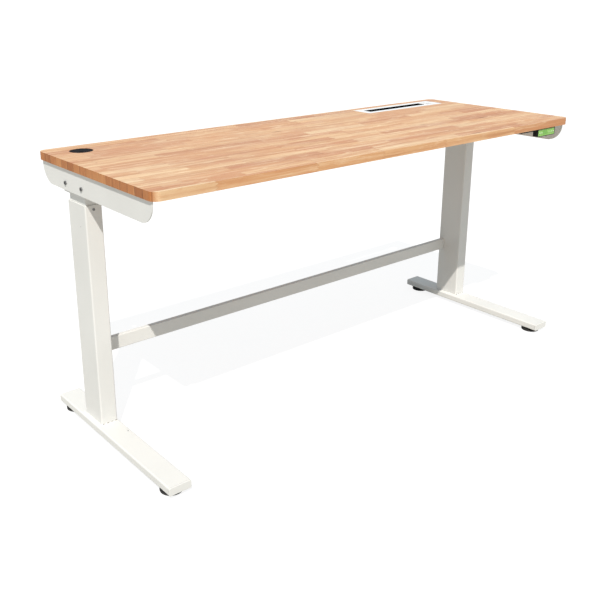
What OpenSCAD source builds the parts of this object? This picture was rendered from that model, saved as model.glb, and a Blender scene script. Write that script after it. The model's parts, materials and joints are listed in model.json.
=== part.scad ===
// Height adjustable standing desk: wooden top on two motor-driven telescopic legs.
// +X runs along the desk, +Y to its back, +Z up. The origin is on the floor, under the desk's middle.

/* [Desktop] */
// Width of the desktop
top_w = 1600; // [1500:10:1800]
// Depth of the desktop
top_d = 600; // [600:5:610]
// Thickness of the desktop
top_t = 22; // [20:1:30]
// Radius of the desktop's corners
top_r = 22; // [5:1:40]
// Height of the work surface with both legs retracted
desk_h = 770; // [765:1:790]
// Distance of the grommet from the desktop's left end
grommet_from_left = 90; // [80:5:140]
// Distance of the grommet from the desktop's back edge
grommet_from_back = 76; // [60:1:100]
// Distance of the cable box from the desktop's right end, to its middle
box_from_right = 252; // [240:1:320]
// Distance of the cable box from the desktop's back edge, to its middle
box_from_back = 68; // [60:1:90]

/* [Cable grommet] */
// Radius of the hole in the wood
grommet_r = 28; // [26:1:32]
// Width of the flange outside the hole
grommet_lip = 4; // [3:1:6]
// Direction that the lid's notch faces, turned from the back of the desk
cap_turn = 152; // [0:1:359]

/* [Cable box] */
// Length of the white flange
box_l = 388; // [370:5:400]
// Depth of the white flange, front to back
box_d = 82; // [70:1:90]
// Length of the slot
slot_l = 330; // [320:5:340]
// Width of the slot
slot_d = 36; // [26:1:42]
// Length of the slot that the brushes fill
brush_l = 289; // [260:1:300]

/* [Legs] */
// Width of the outer column, left to right
outer_w = 48; // [47:1:50]
// Depth of the outer column, front to back
outer_d = 97; // [94:1:100]
// Distance between the middles of the two columns
leg_span = 1525; // [1500:5:1525]
// Distance of the columns' middle behind the desktop's middle
leg_y = 114.5; // [105:0.5:120]
// Strip of inner column that shows when the leg is retracted, with its head plate's underside as the top
leg_gap = 23; // [15:1:30]
// How far the legs extend
lift_travel = 480; // [400:10:480]

/* [Feet] */
// Width of the foot tube
foot_w = 64; // [60:1:70]
// Height of the foot tube
foot_h = 22; // [20:1:25]
// Length of the foot with its end caps
foot_l = 610; // [600:5:650]
// Distance of the foot's middle to the left of its column's middle
foot_shift = 5.5; // [3:0.5:7]
// Height of the foot tube's underside above the floor
foot_lift = 14; // [14:1:16]
// Radius of a levelling pad
pad_r = 30; // [20:1:31]
// Distance of a levelling pad from the foot's end
pad_inset = 43; // [35:1:60]

/* [Stretcher] */
// Height of the stretcher's lower edge above the floor
stretcher_z = 210; // [150:5:300]
// Height of the stretcher tube
stretcher_h = 40; // [30:1:50]
// Thickness of the stretcher tube
stretcher_t = 15; // [12:1:20]

/* [Brackets] */
// Height of the side brackets
bracket_h = 60; // [58:1:70]
// Radius of the brackets' lower corners
bracket_r = 53; // [20:1:56]
// Distance of the brackets' outer faces from the desktop's ends
bracket_inset = 6; // [5:1:12]
// Distance of the brackets' ends from the desktop's front and back edges
bracket_end = 16; // [4:1:20]

/* [Handset] */
// Width of the handset
handset_w = 96; // [96:1:110]
// Height of the handset
handset_h = 26; // [24:1:32]
// Depth of the handset's housing
handset_d = 18; // [16:1:40]
// Distance of the handset's face behind the desktop's front edge
handset_setback = 4; // [0:1:10]
// Distance of the handset's right end from the desktop's right end
handset_from_right = 71; // [45:1:80]
// Radius of a handset button
button_r = 4; // [3:0.5:4]
// Travel of a handset button
button_travel = 0.8; // [0.5:0.1:1]

/* [Hidden] */
$fn = 64;

white_coat = [0.93, 0.92, 0.90];
white_plastic = [0.95, 0.95, 0.94];
black_plastic = [0.05, 0.05, 0.06];
oak = [0.90, 0.70, 0.50];
steel = [0.70, 0.71, 0.73];
zinc = [0.62, 0.63, 0.66];
brass_tone = [0.80, 0.66, 0.38];
film_green = [0.45, 0.75, 0.30];
board_green = [0.10, 0.35, 0.20];

left = -1;
right = 1;

// Heights, from the desktop down
z_under = desk_h - top_t;
z_bracket = z_under - bracket_h;
head_t = 5;
z_head = z_bracket - head_t;
glide_lip = 2;
z_mouth = z_head - leg_gap;
z_outer_top = z_mouth - glide_lip;
z_foot_top = foot_lift + foot_h;

// Columns: the outer and inner tube share a wall thickness, and the glides fill the gap between them
col_wall = 2;
col_gap = 2;
outer_r = 4;
inner_r = 3;
bore_w = outer_w - 2 * col_wall;
bore_d = outer_d - 2 * col_wall;
bore_r = outer_r - col_wall;
inner_w = bore_w - 2 * col_gap;
inner_d = bore_d - 2 * col_gap;
glide_run = 0.2;
mouth_glide_h = 38;
shoe_h = 40;
z_inner = 62;
glide_screw_drop = 11;

// Drive: nut post, nut and spindle in the column, wheel, worm and motor above it
post_r = 15;
post_wall = 2.5;
post_base_t = 5;
nut_h = 40;
nut_spigot = 15;
fit = 0.05;
spindle_r = 8;
journal_r = 7.5;
stop_r = 11;
stop_t = 4;
stop_clearance = 4;
post_top = z_inner + stop_t + lift_travel + stop_clearance + nut_spigot;
drive_y = leg_y - 9.5;
rail_pitch = 90;
rail_w = 16;
rail_h = 40;
rail_wall = 1.5;
rail_end_t = 4;
housing_w = 62;
housing_wall = 2.5;
housing_h = 39;
housing_cover_t = 3;
housing_d = rail_pitch - rail_w - 7;
bearing_r = 16;
bearing_h = 9;
floor_t = 3;
z_bearing = z_bracket + floor_t;
wheel_r = 17;
wheel_h = 12;
wheel_teeth = 28;
z_wheel = z_bearing + bearing_h + 3;
z_worm = z_wheel + wheel_h / 2;
worm_r = 5;
worm_shaft_r = 4;
mesh_gap = 0.3;
worm_y = leg_y - wheel_r - mesh_gap - worm_r;
motor_r = 17;
motor_l = 84;
motor_bell = 10;

// Positions along the desk
bracket_x = top_w / 2 - bracket_inset;
bracket_t = 3;
bracket_flange = 30;
grommet_x = -top_w / 2 + grommet_from_left;
grommet_y = top_d / 2 - grommet_from_back;
box_x = top_w / 2 - box_from_right;
box_y = top_d / 2 - box_from_back;
box_collar = 3;
box_flange_t = 2;
sink = 0.2;
rebate_gap = 0.4;
box_drop = 3;
brush_h = 5;
brush_sink = 0.8;
brush_slit = 0.4;
head_w = 87;
screw_hole_r = 3.3;
rail_y = [drive_y - rail_pitch / 2, drive_y + rail_pitch / 2];
head_front = rail_y[0] - rail_w / 2 - 3.5;
head_back = leg_y + outer_d / 2 + 8;
z_rail_screw = z_bracket + rail_h / 2;
flange_end = bracket_end + 6;
housing_x = bracket_x - bracket_t - 1 - housing_w / 2;
motor_x = housing_x - housing_w / 2;

// Foot and levelling parts
foot_wall = 2;
foot_r = 4;
cap_t = 5;
cap_plug = 12;
tube_l = foot_l - 2 * cap_t;
pad_y = foot_l / 2 - pad_inset;
pad_h = 10;
stud_r = 4;
stud_top = foot_lift + 16;
insert_r = 6.5;
insert_h = 13;
drain_r = 2.5;
drain_side = 9;
drain_y = -5;

// Stretcher: its back face stands a little in from the columns' back faces
stretcher_wall = 1.5;
stretcher_inset = 8;
stretcher_y = leg_y + outer_d / 2 - stretcher_inset - stretcher_t / 2;
stretcher_l = leg_span - outer_w;
plug_l = 40;
fixing_x = stretcher_l / 2 - plug_l / 2;

// Grommet: a ring let into the wood, and a lid that turns in it
ring_depth = top_t - 3;
ring_bore_r = grommet_r - 4;
seat_r = grommet_r - 1.7;
seat_depth = 1;
lip_h = 1.8;
notch_r = 6;
notch_in = 18;

// Wood screws: shank into the wood, flat head under the part that they hold
wood_shank_r = 2;
wood_head_r = 4;
wood_head_h = 2.5;
wood_bite = 14;
sheet_t = 3;
bracket_screw_y = [-250, -150, -50, 30, 200, 260];

// Middle brace: a hat section on the two cross rails
brace_w = 60;
brace_t = 3;

// Control box and inlet
control_x = 250;
control_y = -10;
control_w = 200;
control_d = 100;
control_h = 38;
control_wall = 2.5;
ear_l = 12;
inlet_w = 30;
inlet_h = 22;
inlet_depth = 20;
recess_w = 24;
recess_h = 16;
recess_depth = 16;
blade_l = 11;

// Leads: straight runs between round corners
lead_r = 3;
thin_lead_r = 2.2;
z_lead = z_under - 8;
z_thin_lead = z_under - thin_lead_r - 1.4;
motor_end = motor_x - motor_l - motor_bell;
lead_y = leg_y - 3;
port_left = control_x - 50;
port_right = control_x + 50;
control_back = control_y + control_d / 2;
control_front = control_y - control_d / 2;
left_lead_route = [[-motor_end, worm_y, z_worm], [-motor_end + 30, worm_y, z_worm],
    [-motor_end + 30, worm_y, z_lead], [-motor_end + 30, lead_y, z_lead],
    [port_left, lead_y, z_lead], [port_left, control_back, z_lead]];
right_lead_route = [[motor_end, worm_y, z_worm], [motor_end - 30, worm_y, z_worm],
    [motor_end - 30, worm_y, z_lead], [motor_end - 30, lead_y, z_lead],
    [port_right, lead_y, z_lead], [port_right, control_back, z_lead]];
handset_x = top_w / 2 - handset_from_right - handset_w / 2;
handset_front = -top_d / 2 + handset_setback;
handset_back = handset_front + handset_d;
handset_end = handset_x - handset_w / 2;
handset_lead_x = handset_end - 88;
handset_lead_y = -200;
port_handset = control_x + 80;
handset_lead_route = [[handset_end, handset_front + 4, z_thin_lead],
    [handset_lead_x, handset_front + 4, z_thin_lead],
    [handset_lead_x, handset_lead_y, z_thin_lead], [port_handset, handset_lead_y, z_thin_lead],
    [port_handset, control_front - 20, z_thin_lead], [port_handset, control_front - 20, z_lead],
    [port_handset, control_front, z_lead]];

// Handset: a thin shell behind a front panel, with a wider rim above and beside the panel
handset_wall = 1.5;
handset_rim = 3;
handset_in_w = handset_w - 2 * handset_rim;
handset_in_h = handset_h - handset_rim - handset_wall;
panel_t = 1.5;
panel_gap = 0.3;
display_w = 24;
display_h = 12;
display_x = -8;
button_proud = 0.8;
button_l = 6;
z_handset = z_under - handset_h / 2;
z_panel = z_handset - (handset_rim - handset_wall) / 2;
board_y = handset_front + 8;
// Each button: its place across the handset, from the middle
button_x = [-37, -26, 10, 19.5, 29, 38.5];

// ---- Shared shapes ----

// Rounded rectangle around the origin
module rounded(w, d, r) {
    square([w - 2 * r, d], center = true);
    square([w, d - 2 * r], center = true);
    for (x = [-1, 1], y = [-1, 1])
        translate([x * (w / 2 - r), y * (d / 2 - r)]) circle(r);
}

// Hollow of a rounded rectangle
module ring_outline(w, d, r, in_w, in_d, in_r) {
    difference() {
        rounded(w, d, r);
        rounded(in_w, in_d, in_r);
    }
}

// Centred rounded block standing on z = 0
module block(w, d, h, r) {
    linear_extrude(h) rounded(w, d, r);
}

// Turns a shape drawn in X and Y so that it stands across the desk and is extruded along +X
module along_x(l) {
    rotate([90, 0, 90]) linear_extrude(l) children();
}

// Turns a shape drawn in X and Y so that it stands along the desk and is extruded along +Y
module along_y(l) {
    rotate([90, 0, 0]) translate([0, 0, -l]) linear_extrude(l) children();
}

// Places its children over the column on one side
module at_leg(side) {
    translate([side * leg_span / 2, leg_y, 0]) children();
}

// Moves its children from the column to the foot's middle
module at_foot(side) {
    translate([side * leg_span / 2 - foot_shift, 0, 0]) children();
}

// Hexagon socket, opening towards +Z
module socket(across, depth) {
    translate([0, 0, -depth]) cylinder(r = across / 2, h = depth + 1, $fn = 6);
}

// Socket screw: its head stands on z = 0 and its shank points down
module socket_screw(shank_r, shank_l, head_r, head_h) {
    difference() {
        union() {
            cylinder(r = head_r, h = head_h);
            translate([0, 0, -shank_l]) cylinder(r = shank_r, h = shank_l + 0.1);
        }
        translate([0, 0, head_h]) socket(head_r * 1.1, head_h * 0.7);
    }
}

// Straight runs with a ball at every corner
module lead(points, r) {
    for (i = [0 : len(points) - 2])
        run(points[i], points[i + 1], r);
    for (i = [1 : len(points) - 2])
        translate(points[i]) sphere(r, $fn = 24);
}

// One straight run between two points
module run(a, b, r) {
    v = b - a;
    l = norm(v);
    translate(a)
        rotate([0, acos(v[2] / l), atan2(v[1], v[0])])
            cylinder(r = r, h = l, $fn = 24);
}

// ---- Desktop and what is let into it ----

// Every wood screw: x, y and the height of the face that its head bears on
function bracket_wood_screws() = [for (s = [left, right], y = bracket_screw_y)
    [s * (bracket_x - bracket_t - bracket_flange / 2), y, z_under - sheet_t]];
function brace_wood_screws() = [for (x = [-20, 20], y = [-22, 22]) [x, drive_y + y, z_under - brace_t]];
function control_wood_screws() = [for (x = [-1, 1], y = [-30, 30])
    [control_x + x * (control_w + ear_l) / 2, control_y + y, z_under - sheet_t]];
function handset_wood_screws() = [for (x = [-30, 30])
    [handset_x + x, handset_back + ear_l / 2, z_under - sheet_t]];
wood_screw_points = concat(bracket_wood_screws(), brace_wood_screws(), control_wood_screws(),
    handset_wood_screws());

module desktop() {
    color(oak)
    difference() {
        translate([0, 0, z_under]) block(top_w, top_d, top_t, top_r);
        translate([grommet_x, grommet_y, z_under - 1]) cylinder(r = grommet_r, h = top_t + 2);
        translate([grommet_x, grommet_y, desk_h - sink - lip_h])
            cylinder(r = grommet_r + grommet_lip + rebate_gap, h = lip_h + 1);
        translate([box_x, box_y, z_under - 1])
            block(slot_l + 2 * box_collar, slot_d + 2 * box_collar, top_t + 2, box_collar);
        translate([box_x, box_y, desk_h - sink - box_flange_t])
            block(box_l + 2 * rebate_gap, box_d + 2 * rebate_gap, box_flange_t + 1, 4 + rebate_gap);
        for (p = wood_screw_points)
            translate([p[0], p[1], z_under - 1]) cylinder(r = wood_shank_r, h = wood_bite + 1, $fn = 24);
    }
}

module desktop_screws() {
    color(zinc)
    for (p = wood_screw_points)
        translate([p[0], p[1], p[2] - wood_head_h]) {
            difference() {
                cylinder(r = wood_head_r, h = wood_head_h, $fn = 32);
                translate([-0.6, -2.5, -0.1]) cube([1.2, 5, 1.4]);
                translate([-2.5, -0.6, -0.1]) cube([5, 1.2, 1.4]);
            }
            translate([0, 0, wood_head_h])
                cylinder(r = wood_shank_r, h = z_under + wood_bite - p[2], $fn = 24);
        }
}

module grommet_ring() {
    color(black_plastic)
    translate([grommet_x, grommet_y, desk_h - sink - lip_h])
        rotate_extrude()
            polygon([[ring_bore_r, -ring_depth], [grommet_r - 0.1, -ring_depth], [grommet_r - 0.1, 0],
                [grommet_r + grommet_lip, 0], [grommet_r + grommet_lip, lip_h * 0.4],
                [grommet_r + grommet_lip - 1.2, lip_h], [seat_r, lip_h], [seat_r, -seat_depth],
                [ring_bore_r, -seat_depth]]);
}

module grommet_cap() {
    color(black_plastic)
    translate([grommet_x, grommet_y, desk_h - sink - lip_h]) rotate([0, 0, cap_turn])
        difference() {
            union() {
                translate([0, 0, -seat_depth + fit])
                    cylinder(r = seat_r - 0.3, h = seat_depth + lip_h - 0.25);
                translate([0, 0, -6]) cylinder(r = ring_bore_r - 0.3, h = 6 - seat_depth + fit);
            }
            translate([0, notch_in, -7]) cylinder(r = notch_r, h = 10);
            translate([-notch_r, notch_in, -7]) cube([2 * notch_r, 20, 10]);
            translate([0, 0, -7]) cylinder(r = ring_bore_r - 3, h = 5);
        }
}

module cable_box_frame() {
    color(white_coat)
    translate([box_x, box_y, 0]) {
        translate([0, 0, desk_h - sink - box_flange_t])
            linear_extrude(box_flange_t) ring_outline(box_l, box_d, 4, slot_l, slot_d, 1);
        translate([0, 0, z_under - box_drop])
            linear_extrude(top_t + box_drop - sink)
                ring_outline(slot_l + 2 * box_collar, slot_d + 2 * box_collar, box_collar,
                    slot_l, slot_d, 1);
    }
}

module cable_box_brushes() {
    brush_d = (slot_d - brush_slit) / 2;
    color(black_plastic)
    for (s = [-1, 1])
        translate([box_x - slot_l / 2, box_y + s * (slot_d - brush_d) / 2, desk_h - brush_sink - brush_h])
            translate([0, -brush_d / 2, 0]) cube([brush_l, brush_d, brush_h]);
}

// ---- Top frame ----

module bracket_outline() {
    l = top_d - 2 * bracket_end;
    translate([-l / 2 + bracket_r, z_bracket]) square([l - 2 * bracket_r, bracket_h]);
    translate([-l / 2, z_bracket + bracket_r]) square([l, bracket_h - bracket_r]);
    intersection() {
        translate([-l / 2, z_bracket]) square([l, bracket_h]);
        for (s = [-1, 1])
            translate([s * (l / 2 - bracket_r), z_bracket + bracket_r]) circle(bracket_r, $fn = 96);
    }
}

module side_bracket(side) {
    x_plate = side == left ? -bracket_x : bracket_x - bracket_t;
    x_flange = side == left ? -bracket_x + bracket_t : bracket_x - bracket_t - bracket_flange;
    color(white_coat)
    difference() {
        union() {
            translate([x_plate, 0, 0]) along_x(bracket_t) bracket_outline();
            translate([x_flange - 0.01, -top_d / 2 + flange_end, z_under - sheet_t])
                cube([bracket_flange + 0.02, top_d - 2 * flange_end, sheet_t]);
        }
        for (y = rail_y)
            translate([x_plate - 1, y, z_rail_screw])
                rotate([0, 90, 0]) cylinder(r = screw_hole_r, h = bracket_t + 2);
        for (y = bracket_screw_y)
            translate([side * (bracket_x - bracket_t - bracket_flange / 2), y, z_under - sheet_t - 1])
                cylinder(r = wood_shank_r + 0.2, h = sheet_t + 2, $fn = 24);
    }
}
module side_bracket_left() side_bracket(left);
module side_bracket_right() side_bracket(right);

module bracket_screws() {
    color(zinc)
    for (s = [left, right], y = rail_y)
        translate([s * bracket_x, y, z_rail_screw])
            rotate([0, s * 90, 0]) socket_screw(3, 15, 5.25, 3.3);
}

module head_plate(side) {
    x_mid = side * (bracket_x - bracket_t - head_w / 2);
    color(white_coat)
    difference() {
        translate([x_mid, (head_front + head_back) / 2, z_head])
            block(head_w, head_back - head_front, head_t, 3);
        at_leg(side) translate([0, 0, z_head - 1]) cylinder(r = spindle_r + 2, h = head_t + 2);
    }
}
module head_plate_left() head_plate(left);
module head_plate_right() head_plate(right);

module cross_rail(y) {
    rail_l = 2 * (bracket_x - bracket_t);
    color(white_coat)
    translate([0, y, z_bracket + rail_h / 2])
        difference() {
            translate([-rail_l / 2, 0, 0]) along_x(rail_l) rounded(rail_w, rail_h, 2);
            translate([-rail_l / 2 + rail_end_t, 0, 0])
                along_x(rail_l - 2 * rail_end_t)
                    rounded(rail_w - 2 * rail_wall, rail_h - 2 * rail_wall, 0.5);
            for (s = [left, right])
                translate([s * (rail_l / 2 - rail_end_t / 2), 0, 0])
                    rotate([0, 90, 0]) cylinder(r = 3 + fit, h = rail_end_t + 2, center = true);
        }
}
module cross_rail_front() cross_rail(rail_y[0]);
module cross_rail_back() cross_rail(rail_y[1]);

module middle_brace() {
    z_rail_top = z_bracket + rail_h;
    web = rail_pitch / 2 - rail_w / 2;
    foot = rail_pitch / 2 + rail_w / 2;
    color(white_coat)
    difference() {
        translate([-brace_w / 2, drive_y, 0])
            along_x(brace_w)
                polygon([[-foot, z_rail_top], [-web + brace_t, z_rail_top],
                    [-web + brace_t, z_under - brace_t], [web - brace_t, z_under - brace_t],
                    [web - brace_t, z_rail_top], [foot, z_rail_top],
                    [foot, z_rail_top + brace_t], [web, z_rail_top + brace_t],
                    [web, z_under], [-web, z_under],
                    [-web, z_rail_top + brace_t], [-foot, z_rail_top + brace_t]]);
        for (p = brace_wood_screws())
            translate([p[0], p[1], p[2] - 1]) cylinder(r = wood_shank_r + 0.2, h = brace_t + 2, $fn = 24);
    }
}

// ---- Columns ----

module inner_column(side) {
    color(white_coat)
    at_leg(side) translate([0, 0, z_inner])
        linear_extrude(z_head - z_inner)
            ring_outline(inner_w, inner_d, inner_r, inner_w - 2 * col_wall, inner_d - 2 * col_wall,
                inner_r - col_wall);
}
module inner_column_left() inner_column(left);
module inner_column_right() inner_column(right);

module shoe_glides() {
    color(black_plastic)
    for (s = [left, right])
        at_leg(s) translate([0, 0, z_inner])
            linear_extrude(shoe_h)
                ring_outline(bore_w - 2 * glide_run, bore_d - 2 * glide_run, bore_r - glide_run,
                    inner_w, inner_d, inner_r);
}

module glide_screw_holes(r, depth) {
    for (s = [-1, 1])
        translate([0, s * outer_d / 2, z_mouth - glide_screw_drop])
            rotate([s * 90, 0, 0]) translate([0, 0, -1]) cylinder(r = r, h = depth + 1, $fn = 32);
}

module outer_column(side) {
    color(white_coat)
    at_leg(side)
        difference() {
            translate([0, 0, z_foot_top])
                linear_extrude(z_outer_top - z_foot_top)
                    ring_outline(outer_w, outer_d, outer_r, bore_w, bore_d, bore_r);
            glide_screw_holes(2.5, col_wall + 0.5);
        }
}
module outer_column_left() outer_column(left);
module outer_column_right() outer_column(right);

module mouth_glides() {
    color(white_plastic)
    for (s = [left, right])
        at_leg(s)
            difference() {
                union() {
                    translate([0, 0, z_outer_top - mouth_glide_h])
                        block(bore_w, bore_d, mouth_glide_h, bore_r);
                    translate([0, 0, z_outer_top]) block(outer_w, outer_d, glide_lip, outer_r);
                }
                translate([0, 0, z_outer_top - mouth_glide_h - 1])
                    block(inner_w + 2 * glide_run, inner_d + 2 * glide_run, mouth_glide_h + glide_lip + 2,
                        inner_r + glide_run);
                glide_screw_holes(2.5, col_wall + 1.4);
            }
}

module glide_screws() {
    color(zinc)
    for (s = [left, right], f = [-1, 1])
        at_leg(s) translate([0, f * outer_d / 2, z_mouth - glide_screw_drop])
            rotate([-f * 90, 0, 0]) socket_screw(2.4, 3.2, 3.6, 1.2);
}

// ---- Drive ----

module nut_post(side) {
    color(steel)
    at_leg(side) {
        difference() {
            union() {
                translate([0, 0, z_foot_top]) block(40, 80, post_base_t, 4);
                translate([0, 0, z_foot_top]) cylinder(r = post_r, h = post_top - z_foot_top);
            }
            translate([0, 0, z_foot_top + post_base_t])
                cylinder(r = post_r - post_wall, h = post_top - z_foot_top);
        }
    }
}
module nut_post_left() nut_post(left);
module nut_post_right() nut_post(right);

module drive_nut(side) {
    color(white_plastic)
    at_leg(side)
        difference() {
            union() {
                translate([0, 0, post_top]) cylinder(r = post_r, h = nut_h);
                translate([0, 0, post_top - nut_spigot])
                    cylinder(r = post_r - post_wall - fit, h = nut_spigot + 1);
            }
            translate([0, 0, post_top - nut_spigot - 1])
                cylinder(r = spindle_r + fit, h = nut_h + nut_spigot + 2);
        }
}
module drive_nut_left() drive_nut(left);
module drive_nut_right() drive_nut(right);

module spindle(side) {
    color(steel)
    at_leg(side) {
        translate([0, 0, z_inner]) cylinder(r = stop_r, h = stop_t);
        translate([0, 0, z_inner]) cylinder(r = spindle_r, h = z_bearing - 1 - z_inner);
        translate([0, 0, z_bearing - 2]) cylinder(r = journal_r, h = z_wheel + wheel_h + 4 - z_bearing + 2);
    }
}
module spindle_left() spindle(left);
module spindle_right() spindle(right);

// Two races and a ring of balls a side
module spindle_bearings() {
    race = 2.6;
    ball_r = 1.6;
    ball_ring = (bearing_r + journal_r) / 2;
    ball_count = 14;
    color(steel)
    for (s = [left, right])
        at_leg(s) translate([0, 0, z_bearing]) {
            difference() {
                cylinder(r = bearing_r, h = bearing_h);
                translate([0, 0, -1]) cylinder(r = bearing_r - race, h = bearing_h + 2);
            }
            difference() {
                cylinder(r = journal_r + race, h = bearing_h);
                translate([0, 0, -1]) cylinder(r = journal_r + fit, h = bearing_h + 2);
            }
            for (i = [0 : ball_count - 1])
                rotate([0, 0, i * 360 / ball_count])
                    translate([ball_ring, 0, bearing_h / 2]) sphere(ball_r, $fn = 24);
        }
}

module worm_wheel(side) {
    tooth_w = PI * wheel_r / wheel_teeth;
    tooth_h = 2;
    color(white_plastic)
    at_leg(side) translate([0, 0, z_wheel])
        difference() {
            cylinder(r = wheel_r, h = wheel_h);
            translate([0, 0, -1]) cylinder(r = journal_r, h = wheel_h + 2);
            for (i = [0 : wheel_teeth - 1])
                rotate([0, 0, i * 360 / wheel_teeth])
                    translate([wheel_r - tooth_h, -tooth_w / 2, -1])
                        cube([tooth_h + 1, tooth_w, wheel_h + 2]);
        }
}
module worm_wheel_left() worm_wheel(left);
module worm_wheel_right() worm_wheel(right);

module worm(side) {
    thread_l = 30;
    pitch = 4;
    cuts = floor(thread_l / pitch);
    shaft_l = housing_w - housing_wall - 4;
    color(steel)
    translate([side * motor_x, worm_y, z_worm])
        rotate([0, side * 90, 0])
            difference() {
                union() {
                    cylinder(r = worm_shaft_r, h = shaft_l);
                    translate([0, 0, shaft_l / 2 - thread_l / 2]) cylinder(r = worm_r, h = thread_l);
                }
                for (i = [0 : cuts - 1])
                    translate([0, 0, shaft_l / 2 - thread_l / 2 + (i + 0.5) * pitch])
                        rotate_extrude() translate([worm_r - 1, -0.8]) square([2, 1.6]);
            }
}
module worm_left() worm(left);
module worm_right() worm(right);

module gearbox(side) {
    in_w = housing_w - 2 * housing_wall;
    in_d = housing_d - 2 * housing_wall;
    color(zinc)
    difference() {
        union() {
            difference() {
                translate([side * housing_x, drive_y, z_bracket])
                    block(housing_w, housing_d, housing_h, 3);
                translate([side * housing_x, drive_y, z_bracket + floor_t])
                    block(in_w, in_d, housing_h, 1);
            }
            at_leg(side) translate([0, 0, z_bracket])
                cylinder(r = bearing_r + 2, h = floor_t + bearing_h - 1);
        }
        at_leg(side) translate([0, 0, z_bearing]) cylinder(r = bearing_r, h = bearing_h + 1);
        at_leg(side) translate([0, 0, z_bracket - 1]) cylinder(r = spindle_r + 2, h = floor_t + 2);
        translate([side * motor_x, worm_y, z_worm])
            rotate([0, 90, 0]) cylinder(r = worm_shaft_r + 0.3, h = 4 * housing_wall, center = true);
    }
}
module gearbox_left() gearbox(left);
module gearbox_right() gearbox(right);

module gearbox_covers() {
    color(zinc)
    for (s = [left, right])
        translate([s * housing_x, drive_y, z_bracket + housing_h])
            block(housing_w, housing_d, housing_cover_t, 3);
}

module motor(side) {
    color(black_plastic)
    translate([side * motor_x, worm_y, z_worm])
        rotate([0, -side * 90, 0]) {
            cylinder(r = motor_r, h = motor_l);
            translate([0, 0, motor_l]) cylinder(r = motor_r - 2, h = motor_bell);
        }
}
module motor_left() motor(left);
module motor_right() motor(right);

// ---- Base ----

module foot(side) {
    color(white_coat)
    at_foot(side)
        difference() {
            translate([0, -tube_l / 2, foot_lift + foot_h / 2])
                along_y(tube_l)
                    ring_outline(foot_w, foot_h, foot_r, foot_w - 2 * foot_wall, foot_h - 2 * foot_wall,
                        foot_r - foot_wall);
            for (s = [-1, 1])
                translate([0, s * pad_y, foot_lift - 1]) cylinder(r = insert_r, h = foot_wall + 2);
            translate([foot_w / 2 - drain_side, drain_y, z_foot_top - foot_wall - 1])
                cylinder(r = drain_r, h = foot_wall + 2, $fn = 32);
        }
}
module foot_left() foot(left);
module foot_right() foot(right);

module foot_end_caps() {
    color(white_plastic)
    for (side = [left, right], s = [-1, 1])
        at_foot(side) translate([0, s * tube_l / 2, foot_lift + foot_h / 2])
            mirror([0, s < 0 ? 1 : 0, 0]) {
                along_y(cap_t) rounded(foot_w, foot_h, foot_r);
                translate([0, -cap_plug, 0])
                    along_y(cap_plug + 0.1)
                        rounded(foot_w - 2 * foot_wall - 0.2, foot_h - 2 * foot_wall - 0.2,
                            foot_r - foot_wall);
            }
}

module level_inserts() {
    color(zinc)
    for (side = [left, right], s = [-1, 1])
        at_foot(side) translate([0, s * pad_y, 0])
            difference() {
                union() {
                    translate([0, 0, foot_lift]) cylinder(r = insert_r, h = insert_h);
                    translate([0, 0, foot_lift - 1]) cylinder(r = insert_r + 2.5, h = 1);
                }
                translate([0, 0, foot_lift - 2]) cylinder(r = stud_r + fit, h = insert_h + 3);
            }
}

module leveler(side, end) {
    edge = 2.5;
    color(black_plastic)
    at_foot(side) translate([0, end * pad_y, 0]) {
        rotate_extrude()
            polygon([[0, 0], [pad_r - edge, 0], [pad_r, edge], [pad_r, pad_h - edge / 2],
                [pad_r - edge / 2, pad_h], [stud_r + 4, pad_h], [stud_r + 4, foot_lift - 1.3],
                [0, foot_lift - 1.3]]);
        cylinder(r = stud_r, h = stud_top);
    }
}
module leveler_front_left() leveler(left, -1);
module leveler_front_right() leveler(right, -1);
module leveler_back_left() leveler(left, 1);
module leveler_back_right() leveler(right, 1);

module stretcher() {
    color(white_coat)
    difference() {
        translate([-stretcher_l / 2, stretcher_y, stretcher_z + stretcher_h / 2])
            along_x(stretcher_l)
                ring_outline(stretcher_t, stretcher_h, 2, stretcher_t - 2 * stretcher_wall,
                    stretcher_h - 2 * stretcher_wall, 0.5);
        for (s = [-1, 1])
            translate([s * fixing_x, stretcher_y, stretcher_z - 1])
                cylinder(r = 2.6, h = stretcher_wall + 2, $fn = 32);
    }
}

// Plugs welded to the columns inside the stretcher's ends, and the screws that hold the tube on them
module stretcher_fixings() {
    play = 0.1;
    color(zinc)
    for (s = [-1, 1]) {
        difference() {
            translate([s * fixing_x - plug_l / 2, stretcher_y, stretcher_z + stretcher_h / 2])
                along_x(plug_l)
                    rounded(stretcher_t - 2 * stretcher_wall - 2 * play,
                        stretcher_h - 2 * stretcher_wall - 2 * play, 0.5);
            translate([s * fixing_x, stretcher_y, stretcher_z])
                cylinder(r = 2.5, h = 14, $fn = 32);
        }
        translate([s * fixing_x, stretcher_y, stretcher_z])
            rotate([180, 0, 0]) socket_screw(2.45, 13, 4.5, 2.5);
    }
}

// ---- Controls ----

module control_box() {
    color(black_plastic)
    difference() {
        union() {
            translate([control_x, control_y, z_under - control_h])
                block(control_w, control_d, control_h, 4);
            for (x = [-1, 1], y = [-30, 30])
                translate([control_x + x * (control_w + ear_l) / 2, control_y + y, z_under - sheet_t])
                    block(ear_l + 0.1, 16, sheet_t, 2);
        }
        translate([control_x, control_y, z_under - control_h + control_wall])
            block(control_w - 2 * control_wall, control_d - 2 * control_wall,
                control_h - 2 * control_wall, 2);
        translate([control_x - control_w / 2 - 1, control_y, z_under - control_h / 2])
            translate([0, 1 - inlet_w / 2, 1 - inlet_h / 2])
                cube([control_wall + 2, inlet_w - 2, inlet_h - 2]);
        for (p = control_wood_screws())
            translate([p[0], p[1], p[2] - 1]) cylinder(r = wood_shank_r + 0.2, h = sheet_t + 2, $fn = 24);
    }
}

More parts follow.
